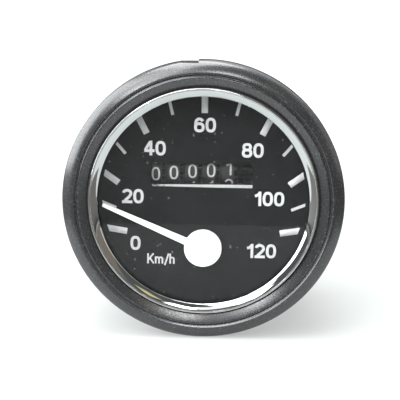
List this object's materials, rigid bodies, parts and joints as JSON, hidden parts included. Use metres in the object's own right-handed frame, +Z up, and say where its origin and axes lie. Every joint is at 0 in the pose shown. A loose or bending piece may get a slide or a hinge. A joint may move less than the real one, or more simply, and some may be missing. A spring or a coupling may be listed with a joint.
{
  "type": "vintage speedometer",
  "caption": "Round panel speedometer: black bezel, bright ring, black dial with offset pointer and drum distance counter, barrel case with cable nipple, studs and lamp holder.",
  "frame": {"origin": "on the case axis, in the plane of the bezel's rear seat", "axes": "+Y along the case axis towards the rear, +Z up as read on the dial, the front faces -Y"},
  "size_m": [0.06, 0.0535, 0.06],
  "materials": {
    "black_shell": "black enamel",
    "black_moulding": "satin black moulding",
    "bright_trim": "polished chrome",
    "clear": "clear flat pane",
    "black_rubber": "black rubber",
    "dial_black": "matt black",
    "pointer_white": "matt white",
    "steel": "turned steel",
    "brass": "turned brass",
    "spring_bronze": "rolled bronze strip",
    "bearing_bronze": "sintered bronze",
    "sheet_steel": "zinc plated sheet",
    "soft_iron": "pressed soft iron",
    "drag_metal": "thin spun aluminium",
    "magnet_grey": "cast magnet alloy",
    "die_cast": "die-cast zinc alloy",
    "fibre": "pressed fibre",
    "gear_nylon": "moulded nylon",
    "drum_black": "matt black moulding"
  },
  "bodies": {
    "case_body": {"case": "black_shell", "bezel": "black_moulding", "bright_ring": "bright_trim", "lens": "clear", "lamp_bulb": "clear", "lens_gasket": "black_rubber", "lamp_holder": "black_rubber", "dial": "dial_black", "dial_sleeve": "dial_black", "dial_screws": "dial_black", "drum_shaft": "steel", "pinion_shaft": "steel", "mounting_studs": "steel", "case_screws": "steel", "counter_rivets": "steel", "bridge_bush": "brass", "dial_spacers": "brass", "lamp_terminal": "brass", "hairspring": "spring_bronze", "spindle_bush": "bearing_bronze", "bridge": "sheet_steel", "counter_frame": "sheet_steel", "spring_anchor": "sheet_steel", "movement_frame": "die_cast", "cable_nipple": "die_cast", "thrust_washer": "fibre"},
    "spindle": {"drive_spindle": "steel", "spindle_worm": "brass", "magnet": "magnet_grey", "flux_cup": "soft_iron"},
    "pointer": {"pointer": "pointer_white", "pointer_staff": "steel", "spring_collet": "brass", "drag_cup": "drag_metal"},
    "cross": {"cross_shaft": "steel", "cross_wheel": "gear_nylon", "cross_worm": "brass"},
    "lay": {"lay_shaft": "steel", "lay_wheel": "gear_nylon", "lay_worm": "brass"},
    "drum_1": {"drum_1": "drum_black"},
    "drum_2": {"drum_2": "drum_black"},
    "drum_3": {"drum_3": "drum_black"},
    "drum_4": {"drum_4": "drum_black"},
    "drum_5": {"drum_5": "drum_black"},
    "pinion_1": {"pinion_1": "gear_nylon"},
    "pinion_2": {"pinion_2": "gear_nylon"},
    "pinion_3": {"pinion_3": "gear_nylon"},
    "pinion_4": {"pinion_4": "gear_nylon"}
  },
  "joints": [
    {"name": "spindle_spin", "type": "hinge", "parent": "case_body", "child": "spindle", "pos_m": [0, 0.03, -0.0107], "axis": [0, 1, 0], "continuous": true},
    {"name": "pointer_swing", "type": "hinge", "parent": "case_body", "child": "pointer", "pos_m": [0, 0.0045, -0.0107], "axis": [0, 1, 0], "range_deg": [-13.5, 148.5], "stiffness_Nm_per_rad": 0.0002, "deforming": ["hairspring"]},
    {"name": "cross_spin", "type": "hinge", "parent": "case_body", "child": "cross", "pos_m": [0, 0.02558, -0.00557], "axis": [1, 0, 0], "continuous": true},
    {"name": "lay_spin", "type": "hinge", "parent": "case_body", "child": "lay", "pos_m": [0.00948, 0.0176, -0.00088], "axis": [0, 1, 0], "continuous": true},
    {"name": "drum_5_spin", "type": "hinge", "parent": "case_body", "child": "drum_5", "pos_m": [0.00535, 0.00845, 0.00505], "axis": [1, 0, 0], "continuous": true},
    {"name": "drum_4_spin", "type": "hinge", "parent": "case_body", "child": "drum_4", "pos_m": [0.0014, 0.00845, 0.00505], "axis": [1, 0, 0], "continuous": true},
    {"name": "drum_3_spin", "type": "hinge", "parent": "case_body", "child": "drum_3", "pos_m": [-0.00255, 0.00845, 0.00505], "axis": [1, 0, 0], "continuous": true},
    {"name": "drum_2_spin", "type": "hinge", "parent": "case_body", "child": "drum_2", "pos_m": [-0.0065, 0.00845, 0.00505], "axis": [1, 0, 0], "continuous": true},
    {"name": "drum_1_spin", "type": "hinge", "parent": "case_body", "child": "drum_1", "pos_m": [-0.01045, 0.00845, 0.00505], "axis": [1, 0, 0], "continuous": true},
    {"name": "pinion_4_spin", "type": "hinge", "parent": "case_body", "child": "pinion_4", "pos_m": [0.00337, 0.00845, 0.01254], "axis": [1, 0, 0], "continuous": true},
    {"name": "pinion_3_spin", "type": "hinge", "parent": "case_body", "child": "pinion_3", "pos_m": [-0.00057, 0.00845, 0.01254], "axis": [1, 0, 0], "continuous": true},
    {"name": "pinion_2_spin", "type": "hinge", "parent": "case_body", "child": "pinion_2", "pos_m": [-0.00453, 0.00845, 0.01254], "axis": [1, 0, 0], "continuous": true},
    {"name": "pinion_1_spin", "type": "hinge", "parent": "case_body", "child": "pinion_1", "pos_m": [-0.00847, 0.00845, 0.01254], "axis": [1, 0, 0], "continuous": true}
  ],
  "couplings": [
    {"joint": "cross_spin", "follows": "spindle_spin", "ratio": 0.05},
    {"joint": "lay_spin", "follows": "spindle_spin", "ratio": 0.0025},
    {"joint": "drum_5_spin", "follows": "spindle_spin", "ratio": -0.0001},
    {"joint": "drum_4_spin", "follows": "spindle_spin", "ratio": -0.00001},
    {"joint": "drum_3_spin", "follows": "spindle_spin", "ratio": -0.000001},
    {"joint": "drum_2_spin", "follows": "spindle_spin", "ratio": -0.0000001},
    {"joint": "drum_1_spin", "follows": "spindle_spin", "ratio": -0.00000001},
    {"joint": "pinion_4_spin", "follows": "spindle_spin", "ratio": 0.000025},
    {"joint": "pinion_3_spin", "follows": "spindle_spin", "ratio": 0.0000025},
    {"joint": "pinion_2_spin", "follows": "spindle_spin", "ratio": 0.00000025},
    {"joint": "pinion_1_spin", "follows": "spindle_spin", "ratio": 0.000000025}
  ]
}
